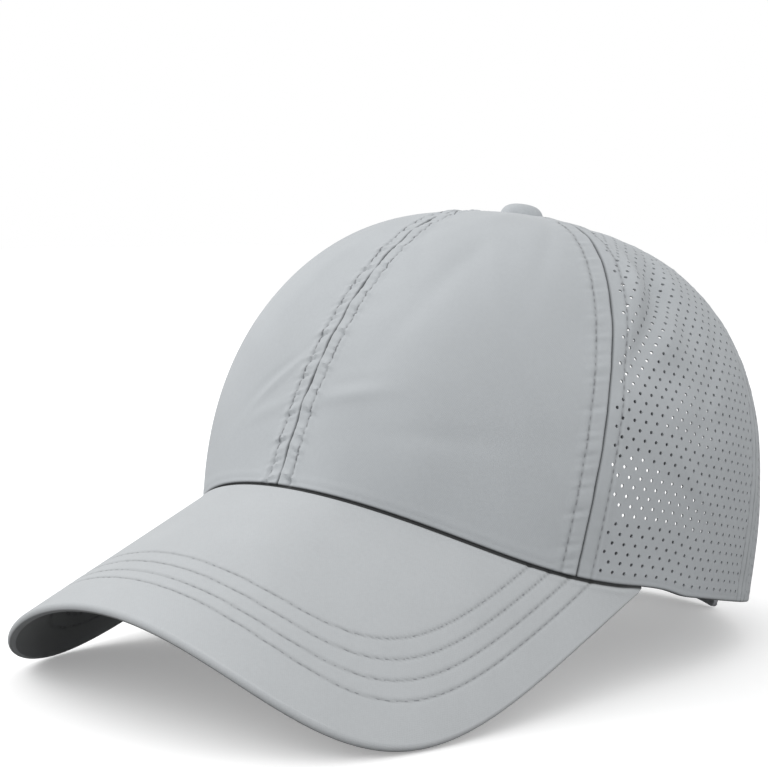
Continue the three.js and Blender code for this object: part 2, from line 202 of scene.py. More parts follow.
def peak_point(across, forward):
    x, drop = arch(across)
    y = -RIM_FRONT - forward * math.cos(PEAK_PITCH) + drop * math.sin(PEAK_PITCH)
    z = PEAK_LIFT - forward * math.sin(PEAK_PITCH) - drop * math.cos(PEAK_PITCH)
    return np.stack([x, y, z], -1)


def peak_normal(across):
    angle = across / PEAK_ARCH_HALF_WIDTH
    level = PEAK_ARCH_HALF_WIDTH * np.cos(angle)
    aside = PEAK_ARCH_DROP * np.sin(angle)
    return unit(np.stack([aside, -math.sin(PEAK_PITCH) * level, math.cos(PEAK_PITCH) * level], -1))


def peak_place(x, y):
    across = PEAK_ARCH_HALF_WIDTH * np.arcsin(np.clip(x / PEAK_ARCH_HALF_WIDTH, -.995, .995))
    drop = arch(across)[1]
    forward = (drop * math.sin(PEAK_PITCH) - y - RIM_FRONT) / math.cos(PEAK_PITCH)
    return across, forward, peak_point(across, forward)[..., 2]


def eased_height(x, y):
    height = peak_place(x, y)[2]
    return RIM_EASE * np.log1p(np.exp(height / RIM_EASE)) * smoothstep(-y / RIM_FRONT, .05, .3)


def rim_plan(azimuth, inset=0):
    reach = np.where(np.cos(azimuth) > 0, RIM_FRONT, RIM_BACK)
    place = np.stack([RIM_HALF_WIDTH * np.sin(azimuth), -reach * np.cos(azimuth)], -1)
    outward = unit(np.stack([place[..., 0] / RIM_HALF_WIDTH ** 2, place[..., 1] / reach ** 2], -1))
    return place - outward * np.asarray(inset)[..., None]


# Crown, tabled once by azimuth and by share of the way to the top

AZIMUTH_STEPS = 720
SHARE_STEPS = 360


def section(azimuth, name):
    end = np.where(np.cos(azimuth) > 0, SECTIONS["front"][name], SECTIONS["back"][name])
    return lerp(end, SECTIONS["side"][name], np.sin(azimuth) ** 2)


def crown_tables():
    azimuth = np.linspace(-PI, PI, AZIMUTH_STEPS + 1)[:, None]
    turn = np.linspace(0, PI / 2, 361)[None, :-1]
    plan = rim_plan(azimuth)
    rim_z = eased_height(plan[..., 0], plan[..., 1]) + GAP
    rise = np.sin(turn) ** (2 / section(azimuth, "shoulder"))
    swell = 1 + section(azimuth, "swell") * np.sin(PI * rise)
    reach = np.cos(turn) ** (2 / section(azimuth, "fullness")) * swell
    line = np.stack([plan[..., 0] * reach, plan[..., 1] * reach, lerp(rim_z, CROWN_HEIGHT, rise)], -1)
    shares = np.linspace(0, 1, SHARE_STEPS + 1)
    points = np.empty((AZIMUTH_STEPS + 1, SHARE_STEPS + 1, 3))
    lengths = np.empty(AZIMUTH_STEPS + 1)
    for row, spots in enumerate(line):
        radius = np.hypot(spots[:, 0], spots[:, 1])
        spots = spots[radius >= TOP_HOLE_RADIUS]
        last = spots[-1]
        inner = TOP_HOLE_RADIUS / np.hypot(last[0], last[1])
        spots = np.vstack([spots, [last[0] * inner, last[1] * inner, last[2]]])
        arcs = run_along(spots)
        lengths[row] = arcs[-1]
        for axis in range(3):
            points[row, :, axis] = np.interp(shares * arcs[-1], arcs, spots[:, axis])
    low = (np.clip(shares, .02, .98) - .02) * SHARE_STEPS
    high = low + .04 * SHARE_STEPS

    def at(index):
        floor = np.minimum(index.astype(int), SHARE_STEPS - 1)
        part = (index - floor)[None, :, None]
        return points[:, floor] * (1 - part) + points[:, floor + 1] * part

    ring = np.arange(AZIMUTH_STEPS + 1)
    round_step = points[(ring + 1) % AZIMUTH_STEPS] - points[(ring - 1) % AZIMUTH_STEPS]
    return points, unit(np.cross(round_step, at(high) - at(low))), lengths


CROWN_POINTS, CROWN_NORMALS, CROWN_LENGTHS = crown_tables()


def tabled(table, azimuth, share):
    a = np.mod(azimuth + PI, 2 * PI) / (2 * PI) * AZIMUTH_STEPS
    s = np.clip(share, 0, 1) * SHARE_STEPS
    i = np.minimum(a.astype(int), AZIMUTH_STEPS - 1)
    j = np.minimum(s.astype(int), SHARE_STEPS - 1)
    p, q = (a - i)[..., None], (s - j)[..., None]
    near = table[i, j] * (1 - q) + table[i, j + 1] * q
    far = table[i + 1, j] * (1 - q) + table[i + 1, j + 1] * q
    return near * (1 - p) + far * p


def marks(azimuth, share, rows, depth):
    """Depth of a list of long soft marks at each place."""
    total = np.zeros(np.shape(azimuth))
    for at, up, heading, length, width, strength in rows:
        round_ = (azimuth - math.radians(at)) * RIM_HALF_WIDTH
        rise = (share - up) * CROWN_HEIGHT * 1.4
        c, s = math.cos(math.radians(heading)), math.sin(math.radians(heading))
        along = (round_ * c + rise * s) / (length * CROWN_HEIGHT)
        aside = (rise * c - round_ * s) / (width * CROWN_HEIGHT)
        total += strength * depth * np.exp(-along * along - aside * aside)
    return total


def wall(azimuth, share, depth):
    azimuth, share = paired(azimuth, share)
    wrapped = np.mod(azimuth + PI, 2 * PI) - PI
    inward = depth + marks(wrapped, share, DENTS, DENT_DEPTH)
    return tabled(CROWN_POINTS, azimuth, share) - tabled(CROWN_NORMALS, azimuth, share) * inward[..., None]


def widths_between(low, high, shares, columns):
    """Width of the crown's cloth between two azimuths at each share, and the places it is read at."""
    azimuth = lerp(low, high, np.linspace(0, 1, columns)[None])
    spots = tabled(CROWN_POINTS, azimuth, np.broadcast_to(shares, azimuth.shape))
    return np.linalg.norm(np.diff(spots, axis=1), axis=2).sum(1), spots


# Back of the crown as a chart

BACK_LENGTH = CROWN_LENGTHS[0]


def azimuth_at(aside, share):
    aside, share = paired(aside, share)

    def inside(azimuth):
        return tabled(CROWN_POINTS, azimuth, share)[..., 0] < np.abs(aside)

    last = halved(np.full(aside.shape, PI), np.full(aside.shape, PI / 2), 26, inside)
    return np.where(aside < 0, 2 * PI - last, last)


def chart(aside, up, depth):
    aside, up = paired(aside, up)
    share = np.maximum(up, 0) / BACK_LENGTH
    points = wall(azimuth_at(aside, share), share, np.broadcast_to(depth, aside.shape))
    points[..., 2] += np.minimum(up, 0)
    return points


def opening_half(up):
    ups, halves = OPENING_EDGE.T
    share = np.asarray(up, float) / OPENING_HEIGHT
    last = len(ups) - 1
    row = np.clip(np.searchsorted(ups, share, side="right") - 1, 0, last - 1)
    slopes = np.array([
        (halves[min(last, k + 1)] - halves[max(0, k - 1)]) / (ups[min(last, k + 1)] - ups[max(0, k - 1)])
        for k in range(last + 1)
    ])
    span = ups[row + 1] - ups[row]
    t = (share - ups[row]) / span
    rise = halves[row + 1] - halves[row]
    bend = t * (1 - t) * ((1 - t) * (slopes[row] * span - rise) + t * (rise - slopes[row + 1] * span))
    over = halves[row + 1] + slopes[last] * (share - ups[row + 1])
    return np.where(t > 1, over, halves[row] + rise * t + bend) * OPENING_HALF_WIDTH


def seam_azimuth(name, share):
    return np.radians(lerp(SEAMS[name][0], SEAMS[name][1], share))


def edge_azimuth(share):
    return azimuth_at(np.maximum(opening_half(share * BACK_LENGTH), GAP / 2), share)


def binding_azimuth(share):
    up = share * BACK_LENGTH
    slope = opening_half(up + 1) - opening_half(up)
    aside = np.maximum(opening_half(up) + BINDING_WIDTH * np.hypot(1, slope), BINDING_WIDTH)
    least = lerp(PI, seam_azimuth("rear", share), .55)
    return np.maximum(azimuth_at(np.minimum(aside, RIM_HALF_WIDTH * .9), share), least)


# From the cap's frame to the resting place, in metres

MOUNT = frame["record"]["mounts"][0]
TILT = math.atan2(-MOUNT["axis"][1], -MOUNT["axis"][2])
REST = np.array(MOUNT["pos_m"])


def rested(points):
    points = np.asarray(points, float)
    y = points[..., 1] * math.cos(TILT) + points[..., 2] * math.sin(TILT)
    z = points[..., 2] * math.cos(TILT) - points[..., 1] * math.sin(TILT)
    return np.stack([points[..., 0], y, z], -1) * .001 + REST


# Mesh helpers

def active(piece):
    bpy.ops.object.select_all(action="DESELECT")
    piece.select_set(True)
    bpy.context.view_layer.objects.active = piece


def placed(name, points, faces, flat=None, painted_shade=None):
    """A mesh from points in millimetres, with its flat pattern as UV map and a per-point painted shade
    that darkens its colour.
    """
    mesh = bpy.data.meshes.new(name)
    mesh.from_pydata(rested(points).tolist(), [], [list(map(int, face)) for face in faces])
    if flat is not None:
        loops = np.empty(len(mesh.loops), int)
        mesh.loops.foreach_get("vertex_index", loops)
        layer = mesh.uv_layers.new(name="pattern")
        layer.data.foreach_set("uv", (np.asarray(flat)[loops] * .01).astype(np.float32).ravel())
    # Painted shade: a per-point value, read by the cloth material, that darkens the colour
    if painted_shade is not None:
        layer = mesh.attributes.new("painted_shade", "FLOAT", "POINT")
        layer.data.foreach_set("value", np.asarray(painted_shade, np.float32).ravel())
    piece = bpy.data.objects.new(name, mesh)
    bpy.context.scene.collection.objects.link(piece)
    return piece


def smoothed(piece, degrees=40):
    active(piece)
    bpy.ops.object.shade_smooth_by_angle(angle=math.radians(degrees))


def grid_faces(rows, columns, wrap=False):
    index = np.arange(rows * columns).reshape(rows, columns)
    if wrap:
        index = np.hstack([index, index[:, :1]])
    quads = np.stack([index[:-1, :-1], index[:-1, 1:], index[1:, 1:], index[1:, :-1]], -1)
    return quads.reshape(-1, 4)


def panel_sheet(name, side, points, faces, flat, painted_shade):
    """A panel's cloth: its faces turned outwards on either side, and given a thickness inwards."""
    if side < 0:
        faces = [face[::-1] for face in faces]
    piece = placed(name, points, faces, flat, painted_shade)
    active(piece)
    solid = piece.modifiers.new("thickness", "SOLIDIFY")
    solid.thickness = SEEN_CLOTH * .001
    solid.offset = -1
    bpy.ops.object.modifier_apply(modifier=solid.name)
    smoothed(piece)
    return piece


def tube(name, rings, flat, painted_shade=None):
    """A closed piece from rings of points, each ring going round the piece's section."""
    rows, columns = rings.shape[:2]
    faces = grid_faces(rows, columns, wrap=True).tolist()
    faces.append(list(range(columns))[::-1])
    faces.append([(rows - 1) * columns + column for column in range(columns)])
    piece = placed(name, rings.reshape(-1, 3), faces, flat.reshape(-1, 2), painted_shade)
    outward(piece)
    smoothed(piece, 50)
    return piece


def outward(piece):
    bm = bmesh.new()
    bm.from_mesh(piece.data)
    bmesh.ops.recalc_face_normals(bm, faces=bm.faces)
    bm.to_mesh(piece.data)
    bm.free()


# Sewn relief of a panel: how far the cloth stands out at a distance from a seam

def ripple(run, seed, waves=(2.3, 3.3, 4.9, 7.7)):
    random = np.random.RandomState(seed)
    total = 0
    for wave in waves:
        total = total + np.sin(2 * PI * run / wave + random.uniform(0, 2 * PI)) / len(waves)
    return total


def rolled(distance, radius=.9):
    inner = np.clip(radius - distance, 0, radius)
    return np.sqrt(radius ** 2 - inner ** 2) - radius


def sewn(distance, run, seed, pucker):
    height = .17 * (1 - smoothstep(distance, ALLOWANCE - .8, ALLOWANCE + 1.2))
    height = height - .3 * bell(distance - STITCH_OFFSET, .6)
    folds = ripple(run + .35 * distance, seed) * bell(distance - STITCH_OFFSET + .8, 3.1)
    long_folds = ripple(run - .5 * distance, seed + 7, (13.1, 19.3)) * np.exp(-distance / 9)
    return height + rolled(distance) + pucker * (folds + .5 * long_folds)


class Panel:
    """One sewn panel of the crown, laid flat between two seam lines."""

    def __init__(self, side, start, end, seeds, puckers):
        self.side, self.start, self.end = side, start, end
        self.seeds, self.puckers = seeds, puckers
        self.shares = np.linspace(0, 1, 241)
        s = self.shares[:, None]
        self.widths, spots = widths_between(start(s), end(s), s, 25)
        self.length = np.linalg.norm(np.diff(spots[:, 12], axis=0), axis=1).sum()

    def width(self, up):
        return np.interp(up / self.length, self.shares, self.widths)

    def azimuth(self, aside, up):
        share = up / self.length
        return lerp(self.start(share), self.end(share), aside / self.width(up))

    def relief(self, aside, up):
        """How far the cloth stands out of the crown's surface."""
        width = self.width(up)
        low, high = self.seeds
        height = sewn(aside, up, low, self.puckers[0]) if self.puckers[0] is not None else 0
        if self.puckers[1] is not None:
            height = height + sewn(width - aside, up, high, self.puckers[1])
        hem = .1 * (1 - smoothstep(up, 3.4, 4.6)) - .08 * bell(up - HEM_STITCH, .45)
        return height * smoothstep(width, 2, 16) + hem + rolled(up, .75)

    def painted_shade(self, aside, up):
        """Painted shade of the cloth in the seams, the stitch lines and the rim's join: how much its
        colour is darkened.
        """
        shade = .9 * bell(up, .35) + .05 * bell(up - HEM_STITCH, .4)
        for distance, pucker in zip((aside, self.width(up) - aside), self.puckers):
            if pucker is not None:
                shade = shade + .6 * bell(distance, .4) + .22 * bell(distance - STITCH_OFFSET, .4)
        return np.minimum(shade, DEEPEST_SHADE)

    def points(self, aside, up, extra=0):
        azimuth, share = self.side * self.azimuth(aside, up), up / self.length
        return wall(azimuth, share, extra - self.relief(aside, up) + marks(azimuth, share, CREASES, 1))


BAND = np.concatenate([[.02, .08, .2, .38, .62, .9], np.arange(1.3, 12.2, .5)])
RIM_ROWS = (.02, .15, .4, .8, 1.4)
FIRST_EVEN_ROW = 2.1


def rows_up(length, step):
    return np.concatenate([RIM_ROWS, np.arange(FIRST_EVEN_ROW, length - .6, step), [length]])


def band_columns(width, middle):
    """Columns close together along both seams, and spread over the middle."""
    scale = np.minimum(1, width / (2.6 * BAND[-1]))[:, None]
    low = BAND[None, :] * scale
    high = width[:, None] - low[:, ::-1]
    share = np.linspace(0, 1, middle + 2)[1:-1][None, :]
    return np.hstack([low, lerp(low[:, -1:], high[:, :1], share), high])


def plain_panel(name, panel):
    """A panel with its edges folded in at both seams and at the rim."""
    up = rows_up(panel.length, .8)
    aside = band_columns(panel.width(up), 56)
    ups = np.broadcast_to(up[:, None], aside.shape)
    points = panel.points(aside, ups)
    fold = panel.points(aside[:, [0, -1]], ups[:, [0, -1]], FOLD_IN)
    points = np.concatenate([fold[:, :1], points, fold[:, 1:]], 1)
    flat = np.stack([aside - panel.width(ups) / 2, ups], -1)
    flat = np.concatenate([flat[:, :1] - [FOLD_IN, 0], flat, flat[:, -1:] + [FOLD_IN, 0]], 1)
    under = panel.points(aside[0], ups[0], FOLD_IN)
    under = np.concatenate([under[:1], under, under[-1:]])[None]
    points = np.concatenate([under, points])
    flat = np.concatenate([flat[:1] - [0, FOLD_IN], flat])
    # Painted shade: folded-under edges get the deepest, the face gets it in seams and stitch lines
    painted_shade = np.full(points.shape[:2], DEEPEST_SHADE)
    painted_shade[1:, 1:-1] = panel.painted_shade(aside, ups)
    faces = grid_faces(*points.shape[:2])
    return panel_sheet(name, panel.side, points.reshape(-1, 3), faces, flat.reshape(-1, 2), painted_shade)


def punched_panel(name, panel, margins, fold):
    """A panel with its holes cut while flat, then laid over the crown, its edges folded in."""
    length = panel.length
    ups = rows_up(length, 1.25)
    aside = band_columns(panel.width(ups), 0)
    grid_up = np.broadcast_to(ups[:, None], aside.shape)
    half = panel.width(grid_up) / 2
    spots = np.stack([aside - half, grid_up], -1)
    rim_columns = np.linspace(0, 1, 60)[1:-1]
    low, high = spots[0, len(BAND) - 1, 0], spots[0, len(BAND), 0]
    rim_line = np.stack([lerp(low, high, rim_columns), np.full(len(rim_columns), RIM_ROWS[0])], -1)
    rim_rows = [rim_line + [0, up - RIM_ROWS[0]] for up in (*RIM_ROWS[1:], FIRST_EVEN_ROW)]
    top_columns = lerp(spots[-1, len(BAND) - 1, 0], spots[-1, len(BAND), 0], np.linspace(0, 1, 3)[1:-1])
    top_line = np.stack([top_columns, np.full(1, length)], -1)

    centres = []
    for row in range(int(length / HOLE_UP)):
        up = LOWEST_HOLE + row * HOLE_UP
        if up > length - HOLE_FREE_TOP:
            break
        reach = panel.width(up) / 2
        shift = (row % 2) * HOLE_ACROSS / 2
        count = int(reach / HOLE_ACROSS) + 1
        for column in range(-count, count + 1):
            across = column * HOLE_ACROSS + shift
            keep_low, keep_high = margins(up / length)
            if -reach + keep_low < across < reach - keep_high:
                centres.append((across, up))
    centres = np.array(centres)
    turn = np.linspace(0, 2 * PI, HOLE_SIDES, endpoint=False)
    ring = np.stack([np.cos(turn), np.sin(turn)], -1) * HOLE_SIZE
    holes = centres[:, None] + ring[None]
    between = centres + [HOLE_ACROSS / 2, 0]
    inside = np.abs(between[:, 0]) < panel.width(between[:, 1]) / 2 - BAND[-1] - 1
    loose = np.vstack([spots[1:-1, 1:-1].reshape(-1, 2), *rim_rows, between[inside]])
    nearest = np.array([
        np.min(np.abs(centres - spot).max(1) + np.abs(centres - spot).sum(1)) for spot in loose
    ])
    loose = loose[nearest > CLEAR_OF_HOLES]

    outline = np.vstack([
        spots[0, :len(BAND)], rim_line, spots[0, len(BAND):], spots[1:, -1],
        spots[-1, :-1][::-1][:len(BAND) - 1], top_line, spots[-1, :-1][::-1][len(BAND) - 1:],
        spots[1:-1, 0][::-1],
    ])
    count = len(outline)
    cut = np.vstack([outline, holes.reshape(-1, 2), loose])
    loops = [list(range(count))]
    for hole in range(len(holes)):
        first = count + hole * HOLE_SIDES
        loops.append(list(range(first, first + HOLE_SIDES)))
    made = delaunay_2d_cdt([Vector(spot) for spot in cut.tolist()], [], loops, 1, 1e-5)
    flat = np.array([tuple(spot) for spot in made[0]])
    faces = [face for face, source in zip(made[2], made[5]) if max(source, default=0) == 0]
    aside = np.clip(flat[:, 0] + panel.width(flat[:, 1]) / 2, .02, panel.width(flat[:, 1]) - .02)
    points = panel.points(aside, flat[:, 1])
    edge = {spot: index for index, spots_ in enumerate(made[3]) for spot in spots_ if spot < count}
    border = [edge[index] for index in range(count)]
    under = panel.points(aside[border], flat[border, 1], fold)
    first = len(points)
    # Painted shade: seams and stitch lines on the face, the deepest on the folded-under border
    painted_shade = np.concatenate([panel.painted_shade(aside, flat[:, 1]), np.full(count, DEEPEST_SHADE)])
    points = np.vstack([points, under])
    flat = np.vstack([flat, flat[border] * [1.01, 1]])
    for index in range(count):
        after = (index + 1) % count
        faces.append([first + index, first + after, border[after], border[index]])
    return panel_sheet(name, panel.side, points, faces, flat, painted_shade)


# Materials

def node(tree, kind, **values):
    made = tree.nodes.new(kind)
    for key, value in values.items():
        if key in made.bl_rna.properties:
            setattr(made, key, value)
        else:
            made.inputs[key.replace("_", " ")].default_value = value
    return made


def math_node(tree, operation, first, second=None):
    made = tree.nodes.new("ShaderNodeMath")
    made.operation = operation
    for index, value in enumerate((first, second)):
        if value is None:
            continue
        if isinstance(value, (int, float)):
            made.inputs[index].default_value = value
        else:
            tree.links.new(value, made.inputs[index])
    return made.outputs[0]


def node_group(name, place, amount, outputs):
    """A node group that takes a place and an amount, and its input and output nodes."""
    tree = bpy.data.node_groups.new(name, "ShaderNodeTree")
    tree.interface.new_socket(place, in_out="INPUT", socket_type="NodeSocketVector")
    tree.interface.new_socket(amount, in_out="INPUT", socket_type="NodeSocketFloat")
    for output in outputs:
        tree.interface.new_socket(output, in_out="OUTPUT", socket_type="NodeSocketFloat")
    return tree, tree.nodes.new("NodeGroupInput"), tree.nodes.new("NodeGroupOutput")


def weave_group():
    """Plain weave: height and a faint shade from two crossing sets of threads."""
    tree, start, end = node_group("plain weave", "Pattern", "Threads", ("Height", "Shade"))
    wobble = node(tree, "ShaderNodeTexNoise", Scale=40.0, Detail=2.0)
    tree.links.new(start.outputs["Pattern"], wobble.inputs["Vector"])
    shifted = tree.nodes.new("ShaderNodeVectorMath")
    shifted.operation = "MULTIPLY_ADD"
    shifted.inputs[1].default_value = (.012, .012, .012)
    tree.links.new(wobble.outputs["Color"], shifted.inputs[0])
    tree.links.new(start.outputs["Pattern"], shifted.inputs[2])
    split = tree.nodes.new("ShaderNodeSeparateXYZ")
    tree.links.new(shifted.outputs[0], split.inputs[0])
    waves = []
    for axis in range(2):
        turns = math_node(tree, "MULTIPLY", split.outputs[axis], start.outputs["Threads"])
        waves.append(math_node(tree, "SINE", turns))
    crossed = math_node(tree, "MULTIPLY", *waves)
    height = math_node(tree, "MULTIPLY", math_node(tree, "ADD", crossed, 1), .5)
    tree.links.new(height, end.inputs["Height"])
    faint = math_node(tree, "MULTIPLY", height, .06)
    tree.links.new(math_node(tree, "ADD", faint, .97), end.inputs["Shade"])
    return tree


def mottle_group():
    """Soft unevenness of dyed cloth: broad tone, fine flecks and roughness."""
    tree, start, end = node_group("cloth mottle", "Place", "Strength", ("Tone", "Fleck"))
    broad = node(tree, "ShaderNodeTexNoise", Scale=28.0, Detail=3.0, Roughness=.5)
    fine = node(tree, "ShaderNodeTexNoise", Scale=900.0, Detail=2.0, Roughness=.6)
    for texture in (broad, fine):
        tree.links.new(start.outputs["Place"], texture.inputs["Vector"])
    centred = math_node(tree, "SUBTRACT", broad.outputs[0], .5)
    spread = math_node(tree, "MULTIPLY", centred, start.outputs["Strength"])
    tree.links.new(math_node(tree, "ADD", spread, 1), end.inputs["Tone"])
    tree.links.new(fine.outputs[0], end.inputs["Fleck"])
    return tree


WEAVE = weave_group()
MOTTLE = mottle_group()


def cloth(name, color, roughness=.78, threads=900.0, relief=.00003, mottle=.17, sheen=.12):
    """Woven polyester. threads is the weave's turning speed per 100 mm; painted shade from the mesh
    darkens the colour in seams, stitch lines, joins and under the peak.
    """
    material = bpy.data.materials.new(name)
    material.use_nodes = True
    tree = material.node_tree
    shader = tree.nodes["Principled BSDF"]
    shader.inputs["Sheen Weight"].default_value = sheen
    shader.inputs["Sheen Roughness"].default_value = .45
    shader.inputs["Specular IOR Level"].default_value = .35
    place = tree.nodes.new("ShaderNodeTexCoord")
    weave, uneven = (tree.nodes.new("ShaderNodeGroup") for _ in range(2))
    for made, group, amount, space in ((weave, WEAVE, threads, "UV"), (uneven, MOTTLE, mottle, "Object")):
        made.node_tree = group
        made.inputs[1].default_value = amount
        tree.links.new(place.outputs[space], made.inputs[0])
    fleck = math_node(tree, "MULTIPLY", math_node(tree, "SUBTRACT", uneven.outputs["Fleck"], .5), .1)
    tone = math_node(tree, "MULTIPLY", uneven.outputs["Tone"], weave.outputs["Shade"])
    # Painted shade: the mesh's per-point value darkens the base colour in seams, stitch lines, joins and
    # under the peak
    painted_shade = node(tree, "ShaderNodeAttribute", attribute_name="painted_shade")
    tone = math_node(tree, "ADD", tone, fleck)
    tone = math_node(tree, "MULTIPLY", tone, math_node(tree, "SUBTRACT", 1, painted_shade.outputs["Fac"]))
    tint = tree.nodes.new("ShaderNodeVectorMath")
    tint.operation = "SCALE"
    tint.inputs[0].default_value = color
    tree.links.new(tone, tint.inputs["Scale"])
    tree.links.new(tint.outputs[0], shader.inputs["Base Color"])
    rough = math_node(tree, "MULTIPLY", uneven.outputs["Fleck"], .16)
    tree.links.new(math_node(tree, "ADD", rough, roughness - .08), shader.inputs["Roughness"])
    rough_height = math_node(tree, "MULTIPLY", uneven.outputs["Fleck"], .8)
    height = math_node(tree, "ADD", weave.outputs["Height"], rough_height)
    bump = node(tree, "ShaderNodeBump", Strength=.6, Distance=relief)
    tree.links.new(height, bump.inputs["Height"])
    tree.links.new(bump.outputs[0], shader.inputs["Normal"])
    return material


CROWN_CLOTH = cloth("crown cloth", (.50, .525, .545))
MESH_CLOTH = cloth("perforated cloth", (.485, .51, .53))
PEAK_CLOTH = cloth("peak cloth", (.51, .53, .545))
TAPE_CLOTH = cloth("strap tape", (.42, .43, .455), threads=620.0, relief=.00006)
# Thread colour: the thread's own grey, darkened further as painted shade of the stitch holes
THREAD_WITH_PAINTED_SHADE = cloth("sewing thread", (.29, .3, .315), roughness=.6, threads=1500.0)


def finished(piece, material, slot, *nodes):
    piece.data.materials.clear()
    piece.data.materials.append(material)
    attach(piece, "root")
    if nodes:
        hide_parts(*nodes)


# Camera and light

SKY_LIGHT = .78
FLOOR_BOUNCE = .22


def aim(name, place, target, size, power):
    light = bpy.data.lights.new(name, "AREA")
    light.size = size
    light.energy = power
    lamp = bpy.data.objects.new(name, light)
    bpy.context.scene.collection.objects.link(lamp)
    lamp.location = place
    lamp.rotation_euler = (Vector(target) - Vector(place)).to_track_quat("-Z", "Y").to_euler()


def camera_and_stage():
    lens = bpy.data.cameras.new("camera")
    lens.lens = 83.68
    lens.shift_x = -.0680
    lens.shift_y = .0204
    lens.clip_start, lens.clip_end = .01, 50
    camera = bpy.data.objects.new("camera", lens)
    bpy.context.scene.collection.objects.link(camera)
    right = Vector((.73945309, .67318398, -.00569726))
    up = Vector((-.05866059, .07286125, .99561547))
    back = Vector((.67064749, -.73587674, .09336685))
    turn = Matrix((right, up, back)).transposed().to_4x4()
    camera.matrix_world = Matrix.Translation((.40044, -.42826, .13847)) @ turn
    bpy.context.scene.camera = camera
    bpy.ops.object.select_all(action="DESELECT")
    bpy.ops.mesh.primitive_plane_add(size=30, location=(0, 0, 0))
    floor = bpy.context.object
    floor.name = "floor"
    floor.data.materials.append(floor_paint())
    bpy.context.scene.world = studio_world()
    bpy.context.scene.view_settings.view_transform = "Standard"
    aim("key", (-1.45, -.5, 1.05), (0, 0, .06), 1.3, 12.4)
    aim("front", (.5, -1.6, 1.2), (0, 0, .06), 1.2, 7)
    aim("side", (1.7, .4, .3), (0, 0, .06), 1.4, 4.6)


def floor_paint():
    """Pale to the eye, but throws back as little light as a dark table would."""
    paint = bpy.data.materials.new("floor")
    paint.use_nodes = True
    tree = paint.node_tree
    pale = tree.nodes["Principled BSDF"]
    pale.inputs["Base Color"].default_value = (.98, .98, .98, 1)
    pale.inputs["Roughness"].default_value = .9
    pale.inputs["Emission Color"].default_value = (1, 1, 1, 1)
    pale.inputs["Emission Strength"].default_value = .26
    dim = tree.nodes.new("ShaderNodeBsdfDiffuse")
    dim.inputs["Color"].default_value = (FLOOR_BOUNCE, FLOOR_BOUNCE, FLOOR_BOUNCE, 1)
    seen_or_not(tree, dim, pale, tree.nodes["Material Output"])
    return paint


def studio_world():
    """White to the eye and a little less bright as a light."""
    world = bpy.data.worlds.new("studio")
    world.use_nodes = True
    tree = world.node_tree
    white = tree.nodes["Background"]
    white.inputs["Color"].default_value = (1, 1, 1, 1)
    light = tree.nodes.new("ShaderNodeBackground")
    light.inputs["Color"].default_value = (1, 1, 1, 1)
    light.inputs["Strength"].default_value = SKY_LIGHT
    seen_or_not(tree, light, white, tree.nodes["World Output"])
    return world


def seen_or_not(tree, unseen, seen, end):
    path = tree.nodes.new("ShaderNodeLightPath")
    mix = tree.nodes.new("ShaderNodeMixShader")
    tree.links.new(path.outputs["Is Camera Ray"], mix.inputs[0])
    tree.links.new(unseen.outputs[0], mix.inputs[1])
    tree.links.new(seen.outputs[0], mix.inputs[2])
    tree.links.new(mix.outputs[0], end.inputs["Surface"])


# Peak: one closed form, its top and underside joined round a soft edge

# Stitch rows: half width and reach of each, all of one squareness and drawn from one line behind
PEAK_ROWS = [(79.9, 42.7), (85.0, 48.0), (90.0, 53.2), (95.0, 57.6)]
ROW_ACROSS = 5.2
ROW_ALONG = 6.7
ROW_BACK = -80.0
PEAK_COLUMNS = 301
JOIN_GROOVE = 0.7
JOIN_LIP = 0.25
# Painted shade: the peak's underside and the rows just under its edge are darkened in colour
UNDERSIDE_SHADE = 0.42
BELOW_EDGE_SHADES = (.6, .45, .15, 0, 0)


def peak_outline(count):
    part = np.linspace(-1, 1, 2001)
    end = rim_plan(np.array(PEAK_END_AZIMUTH))
    across, forward, _ = peak_place(end[0], end[1])
    angle = part * PI / 2
    back = forward + PEAK_TIP
    x = across * np.sign(part) * np.abs(np.sin(angle)) ** (2 / PEAK_ACROSS)
    y = back + (PEAK_LENGTH - back) * np.abs(np.cos(angle)) ** (2 / PEAK_ALONG)
    run = np.concatenate([[0], np.cumsum(np.hypot(np.diff(x), np.diff(y)))])
    even = np.linspace(0, run[-1], count)
    return np.interp(even, run, x), np.interp(even, run, y)


def row_distance(across, forward, half, front):
    """Distance from one stitch row, to first order."""
    x = np.abs(across) / half
    y = np.maximum(forward - ROW_BACK, 0) / (front - ROW_BACK)
    level = x ** ROW_ACROSS + y ** ROW_ALONG
    slope_across = ROW_ACROSS * x ** (ROW_ACROSS - 1) / half
    slope_along = ROW_ALONG * y ** (ROW_ALONG - 1) / (front - ROW_BACK)
    slope = np.hypot(slope_across, slope_along)
    return (level - 1) / np.maximum(slope, .004)


def peak_relief(across, forward):
    """Height of the cover over the board: sunk stitch rows with small puckers, soft between."""
    angle = np.arctan2(across, forward + 60)
    height = np.zeros(np.shape(across))
    for index, (half, front) in enumerate(PEAK_ROWS):
        distance = row_distance(across, forward, half, front)
        height -= .32 * bell(distance, .42)
        folds = ripple(angle * 110 + .5 * distance, 70 + index, (3.1, 4.7, 7.9))
        height += .1 * folds * bell(distance, 2.2)
    return height


# Painted shade along the peak's stitch rows
def peak_painted_shade(across, forward):
    rows = [bell(row_distance(across, forward, half, front), .36) for half, front in PEAK_ROWS]
    return .3 * np.max(rows, axis=0)


